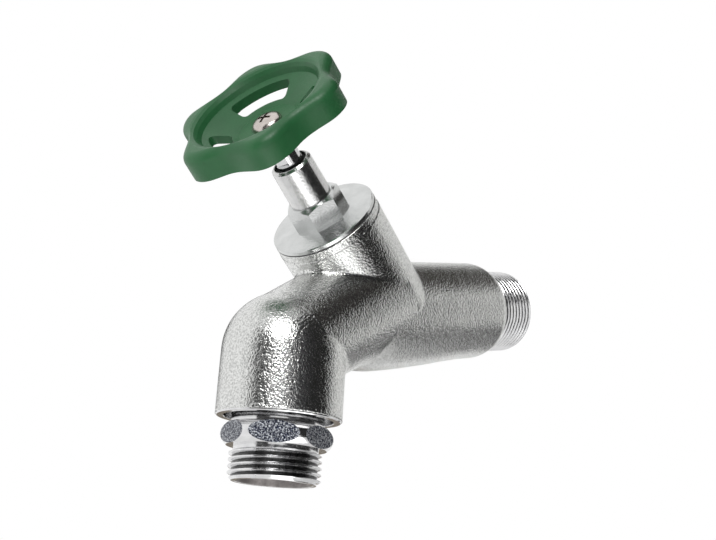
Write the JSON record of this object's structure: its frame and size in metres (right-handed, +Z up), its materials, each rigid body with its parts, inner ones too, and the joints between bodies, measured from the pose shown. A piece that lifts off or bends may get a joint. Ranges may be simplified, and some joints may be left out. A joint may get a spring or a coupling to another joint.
{
  "type": "bib tap",
  "caption": "Garden bib tap with an inclined screw-down spindle, green handwheel and threaded hose outlet.",
  "frame": {"origin": "centre of the inlet thread's end face", "axes": "+Z up, the inlet axis along Y with the tap reaching towards -Y, X across the tap"},
  "size_m": [0.0536, 0.1376, 0.1254],
  "materials": {
    "cast_chrome": "rough cast, chrome plated",
    "turned_chrome": "turned and chrome plated",
    "satin_chrome": "satin",
    "brass": "turned",
    "steel": "stainless",
    "rubber": "moulded",
    "seal_fibre": "moulded",
    "green_plastic": "fine matt moulding",
    "white_plastic": "moulded acetal"
  },
  "bodies": {
    "tap": {"tap_body": "cast_chrome", "bonnet": "satin_chrome", "bonnet_seal": "seal_fibre", "gland_sleeve": "turned_chrome", "thrust_washer": "white_plastic", "outlet_nipple": "turned_chrome", "nipple_ring": "rubber", "check_housing": "white_plastic", "check_housing_ring": "rubber", "check_guide": "white_plastic", "check_spring": "steel"},
    "wheel_and_spindle": {"spindle": "turned_chrome", "handwheel": "green_plastic", "wheel_screw": "steel", "spindle_snap_ring": "seal_fibre", "spindle_ring_lower": "rubber", "spindle_ring_upper": "rubber"},
    "disc_assembly": {"disc_holder": "brass", "disc_washer": "rubber", "disc_screw": "brass"},
    "poppet": {"check_poppet": "white_plastic", "poppet_seal": "rubber"}
  },
  "joints": [
    {"name": "wheel_turn", "type": "hinge", "parent": "tap", "child": "wheel_and_spindle", "pos_m": [0, -0.0675, 0], "axis": [0, -0.6561, 0.7547], "range_deg": [0, 1080]},
    {"name": "stem_rise", "type": "slide", "parent": "tap", "child": "disc_assembly", "axis": [0, -0.6561, 0.7547], "range_m": [0, 0.006]},
    {"name": "check_lift", "type": "slide", "parent": "tap", "child": "poppet", "axis": [0, -0.2079, -0.9781], "range_m": [0, 0.0035], "stiffness_N_per_m": 60, "springref_m": -0.004, "deforming": ["check_spring"]}
  ],
  "couplings": [
    {"joint": "stem_rise", "follows": "wheel_turn", "m_per_rad": 0.00031831}
  ]
}
